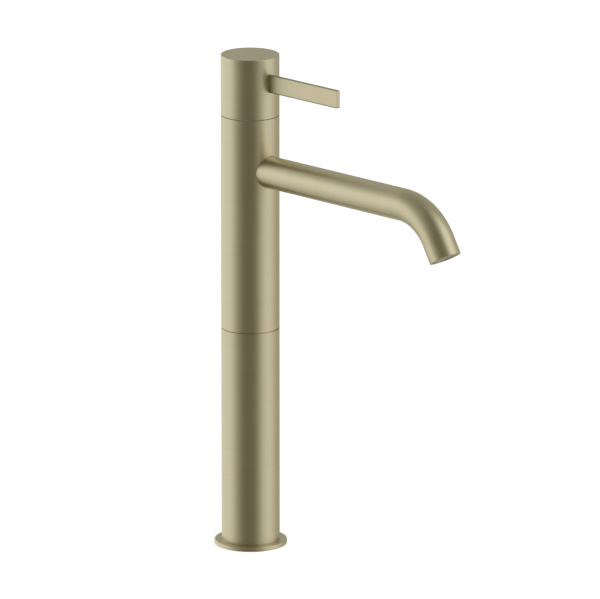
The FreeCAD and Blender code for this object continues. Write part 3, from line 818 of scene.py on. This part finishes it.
def make_lever_blade():
    """A flat blade whose long edges are softened more than its end."""
    long_edge = 0.42 * MM
    end_edge = 0.2 * MM
    root_round = 0.6 * MM
    outline = rounded([
        Corner(LEVER_ROOT_X, LEVER_LOW.z, root_round), Corner(LEVER_HIGH.x, LEVER_LOW.z, LEVER_CORNER_R),
        Corner(LEVER_HIGH.x, LEVER_HIGH.z, LEVER_CORNER_R), Corner(LEVER_ROOT_X, LEVER_HIGH.z, root_round),
    ])
    skin = Skin(len(outline))

    def add_ring(side, angle):
        """The outline on one side: angle 0 is the flat face, and a right angle is the edge's outer end."""
        ring = []
        for x, z, lean_x, lean_z in outline:
            edge = end_edge + (long_edge - end_edge) * abs(lean_z)
            lean = Vector((lean_x, 0, lean_z))
            place = Vector((x, side * (LEVER_T / 2 - edge * (1 - math.cos(angle))), z))
            place -= lean * edge * (1 - math.sin(angle))
            ring.append(skin.point(place, lean * math.sin(angle) + Y * side * math.cos(angle), 0.0))
        return ring

    rings = [add_ring(1, QUARTER * step / ARC_STEPS) for step in range(ARC_STEPS + 1)]
    rings += [add_ring(-1, QUARTER * step / ARC_STEPS) for step in reversed(range(ARC_STEPS + 1))]
    for low, high in zip(rings, rings[1:]):
        skin.bridge(low, high)
    middle = Vector(((LEVER_ROOT_X + LEVER_HIGH.x) / 2, 0, LEVER_Z))
    skin.fan(rings[0], middle + Y * LEVER_T / 2, Y, False)
    skin.fan(rings[-1], middle - Y * LEVER_T / 2, -Y, True)
    finish_piece(skin.build("lever_blade_satin", blade_gold), "handle", "brushed_gold", "lever_blade")


def make_lever_stud():
    """The threaded stud behind the blade, with a plain neck at its root."""
    root_r = thread_root(STUD_R, STUD_PITCH)
    neck_start = LEVER_ROOT_X - 0.8 * MM
    end = LEVER_ROOT_X + INNER_EDGE
    mesh = bmesh.new()
    loft(mesh, around(0, LEVER_LOW.x), around(root_r, LEVER_LOW.x))
    thread(mesh, STUD_R, STUD_PITCH, LEVER_LOW.x, neck_start, root_r)
    loft(mesh, around(root_r, neck_start), around(root_r, end), around(0, end))
    stud = fitting("lever_stud_threaded", mesh, SLOT_MATERIALS["stainless"], lying(LEVER_Z))
    finish_piece(stud, "handle", "stainless", "lever_blade")


# Fittings


def make_shank():
    """The hollow shank, threaded below the flange, with a groove where its end can be cut off."""
    crest_r = SHANK_HIGH.x
    root_r = thread_root(crest_r, SHANK_PITCH)
    groove_low, groove_high = SHANK_GROOVE
    bevel = 0.3 * MM
    mesh = bmesh.new()
    loft(mesh, around(SHANK_BORE_R, SHANK_LOW.z), around(root_r, SHANK_LOW.z))
    thread(mesh, crest_r, SHANK_PITCH, SHANK_LOW.z, groove_low, root_r)
    loft(mesh, around(root_r, groove_low), around(root_r, groove_high))
    thread(mesh, crest_r, SHANK_PITCH, groove_high, SHANK_THREAD_TOP, root_r)
    loft(mesh, around(root_r, SHANK_THREAD_TOP), around(crest_r, 0), around(crest_r, SHANK_HIGH.z - bevel),
         around(crest_r - bevel, SHANK_HIGH.z), around(SHANK_BORE_R, SHANK_HIGH.z),
         around(SHANK_BORE_R, SHANK_LOW.z))
    piece = fitting("mounting_shank_threaded", mesh, SLOT_MATERIALS["raw_brass"])
    finish_piece(piece, "faucet_body", "raw_brass", "mounting_shank")


def hexagonal_nut(name, flats, crest_r, pitch, low, high, bevel, material, place=None):
    """A nut with a threaded bore, whose corners are cut back at 30 degrees to both faces."""
    face_r = flats / math.sqrt(3) - bevel
    slope = math.tan(math.radians(30))
    outline = hexagonal(flats)
    bore_r = crest_r + 0.04 * MM

    def face_edge(angle):
        return min(outline(angle), face_r)

    def drop(angle):
        return max(0, outline(angle) - face_r) * slope

    mesh = bmesh.new()
    thread(mesh, bore_r, pitch, low, high, bore_r)
    high_corners = around(outline, lambda angle: high - drop(angle))
    low_corners = around(outline, lambda angle: low + drop(angle))
    loft(mesh, around(bore_r, high), around(face_edge, high), high_corners, low_corners,
         around(face_edge, low), around(bore_r, low))
    return fitting(name, mesh, material, place)


def make_nuts():
    clamp_bevel = 1.5 * MM
    lever_bevel = 0.5 * MM
    nut = hexagonal_nut("clamp_nut_threaded", 2 * NUT_HIGH.y, SHANK_HIGH.x, SHANK_PITCH,
                        NUT_LOW.z, NUT_HIGH.z, clamp_bevel, SLOT_MATERIALS["raw_brass"])
    finish_piece(nut, "faucet_body", "raw_brass", "clamp_nut")
    low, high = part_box("lever_nut")
    nut = hexagonal_nut("lever_nut_threaded", 2 * high.y, STUD_R, STUD_PITCH, low.x, high.x,
                        lever_bevel, SLOT_MATERIALS["stainless"], lying(LEVER_Z))
    finish_piece(nut, "handle", "stainless", "lever_nut")


def make_grub_screw(node, body, turn):
    """An M4 grub screw with a cup point and a hexagon socket, made about Z from its point."""
    low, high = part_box(node)
    length = max(high - low)
    root_r = thread_root(SCREW_R, SCREW_PITCH)
    point_r = 1.1 * MM
    point = 0.5 * MM
    lead = 0.25 * MM
    socket_r = 1.3 * MM
    socket_depth = 1.6 * MM
    socket = hexagonal(2 * MM)
    mesh = bmesh.new()
    loft(mesh, around(0, point / 2), around(point_r, 0), around(root_r, point))
    thread(mesh, SCREW_R, SCREW_PITCH, point, length - lead, root_r)
    loft(mesh, around(root_r, length - lead), around(root_r - lead / 2, length), around(socket_r, length),
         around(socket, length - lead / 3), around(socket, length - socket_depth),
         around(0, length - socket_depth - point))
    middle = (low + high) / 2
    place = Matrix.Translation(middle) @ turn @ Matrix.Translation((0, 0, -length / 2))
    piece = fitting(node + "_threaded", mesh, SLOT_MATERIALS["stainless"], place)
    finish_piece(piece, body, "stainless", node)


def make_grub_screws():
    make_grub_screw("spout_set_screw", "faucet_body", Matrix.Rotation(math.pi, 4, "X"))
    make_grub_screw("handle_set_screw", "handle", Matrix.Rotation(-QUARTER, 4, "Y"))


def make_turned_ring(node, body, slot, inner_r, edge, place=None):
    """A washer or a flat seal with rounded edges, made about Z in the size of its node."""
    low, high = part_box(node)
    low_end, high_end = (low.z, high.z) if place is None else (low.x, high.x)
    outline = rounded([
        Corner(inner_r, low_end, edge), Corner(high.y, low_end, edge),
        Corner(high.y, high_end, edge), Corner(inner_r, high_end, edge),
    ])
    mesh = bmesh.new()
    rings = [around(radius, height) for radius, height, _, _ in outline]
    loft(mesh, *rings, rings[0])
    piece = fitting(node + "_turned", mesh, SLOT_MATERIALS[slot], place)
    finish_piece(piece, body, slot, node)


def make_washers():
    washer_bore_r = SHANK_HIGH.x + 0.5 * MM
    make_turned_ring("clamp_rubber_washer", "faucet_body", "black_rubber", washer_bore_r, 0.6 * MM)
    make_turned_ring("clamp_steel_washer", "faucet_body", "stainless", washer_bore_r, 0.25 * MM)
    make_turned_ring("base_seal", "faucet_body", "black_rubber", SEAL_HIGH.x - SEAL_WIDTH, 0.35 * MM)
    make_turned_ring("lever_washer", "handle", "stainless", STUD_R + 0.1 * MM, 0.2 * MM, lying(LEVER_Z))


# Studio

SOFTBOX_TINT = (1.0, 1.03, 1.08)


def make_camera():
    camera = bpy.data.cameras.new("camera")
    camera.lens = LENS
    camera.sensor_width = 36.0
    camera.sensor_fit = "HORIZONTAL"
    camera.clip_start = 0.1
    camera.clip_end = 200.0
    direction = Vector((
        math.sin(VIEW_AZIMUTH) * math.cos(VIEW_ELEVATION),
        -math.cos(VIEW_AZIMUTH) * math.cos(VIEW_ELEVATION),
        math.sin(VIEW_ELEVATION),
    ))
    holder = bpy.data.objects.new("camera", camera)
    holder.location = VIEW_AIM + direction * VIEW_DISTANCE
    holder.rotation_euler = direction.to_track_quat("Z", "Y").to_euler()
    bpy.context.scene.collection.objects.link(holder)
    bpy.context.scene.camera = holder


def make_floor():
    """A pale floor with a soft contact shadow. Metal reflects the studio, not the floor."""
    half = 60.0
    height = -0.05 * MM
    corners = [(-half, -half, height), (half, -half, height), (half, half, height), (-half, half, height)]
    mesh = bpy.data.meshes.new("floor")
    mesh.from_pydata(corners, [], [(0, 1, 2, 3)])
    material, graph = new_material("pale_floor")
    set_surface(graph, {"Base Color": (0.80, 0.80, 0.82, 1), "Roughness": 1.0, "Specular IOR Level": 0.0,
                        "Emission Color": (0.975, 0.98, 1, 1), "Emission Strength": 0.70})
    mesh.materials.append(material)
    floor = bpy.data.objects.new("floor", mesh)
    floor.visible_glossy = False
    floor.visible_shadow = False
    bpy.context.scene.collection.objects.link(floor)


def make_studio():
    """Soft light all round, darker behind the camera, with a softbox on each side, the right one higher.

    A direction is given by its bearing from the camera, positive to the right, and its height.
    """
    world = bpy.data.worlds.new("studio")
    world.use_nodes = True
    bpy.context.scene.world = world
    graph = Graph(world.node_tree)
    direction = graph.node("ShaderNodeTexCoord").outputs["Generated"]
    front_way = (math.sin(VIEW_AZIMUTH), -math.cos(VIEW_AZIMUTH), 0)
    right_way = (math.cos(VIEW_AZIMUTH), math.sin(VIEW_AZIMUTH), 0)
    bearing = graph.math("ARCTAN2", graph.vector("DOT_PRODUCT", direction, right_way),
                         graph.vector("DOT_PRODUCT", direction, front_way))
    height = graph.math("ARCSINE", graph.vector("DOT_PRODUCT", direction, (0, 0, 1)))

    def ramp(value, start, end):
        """0 up to start, rising to 1 at end. Angles in degrees."""
        return graph.remap(value, math.radians(start), math.radians(end), 0.0, 1.0, True)

    def band(value, start, full, fading, end):
        """0 up to start, 1 from full to fading, 0 beyond end. Angles in degrees."""
        return graph.math("MULTIPLY", ramp(value, start, full),
                          graph.math("SUBTRACT", 1.0, ramp(value, fading, end)))

    room = graph.mix_colour(ramp(height, 28, 78), (0.49, 0.49, 0.43), (0.335, 0.33, 0.285))
    front = graph.mix_colour(ramp(height, 0, 45), (0.184, 0.176, 0.130), (0.225, 0.218, 0.160))
    colour = graph.mix_colour(band(bearing, -64, -22, 10, 54), room, front)
    left = (band(bearing, -178, -145, -87, -49), band(height, -62, 5, 12, 50), 0.645)
    right = (band(bearing, 20, 70, 80, 130), band(height, -62, 20, 45, 85), 0.73)
    for across, up, strength in (left, right):
        share = graph.math("MULTIPLY", graph.math("MULTIPLY", across, up), strength)
        glow = graph.node("ShaderNodeCombineXYZ", {"X": share, "Y": share, "Z": share}).outputs[0]
        colour = graph.vector("ADD", colour, graph.vector("MULTIPLY", glow, SOFTBOX_TINT))
    seen = graph.node("ShaderNodeLightPath").outputs["Is Camera Ray"]
    colour = graph.mix_colour(seen, colour, (1.0, 1.0, 1.0))
    background = graph.node("ShaderNodeBackground", {"Color": colour, "Strength": 1.0})
    graph.node("ShaderNodeOutputWorld", {"Surface": background.outputs[0]})


def set_colours():
    view = bpy.context.scene.view_settings
    view.view_transform = "Standard"
    view.look = "None"


set_colours()
make_camera()
make_floor()
make_studio()
paint_cad_nodes()
make_base_flange()
make_extension_tube()
make_upper_body()
make_handle_cap()
make_spout()
make_lever_blade()
make_lever_stud()
make_shank()
make_nuts()
make_grub_screws()
make_washers()
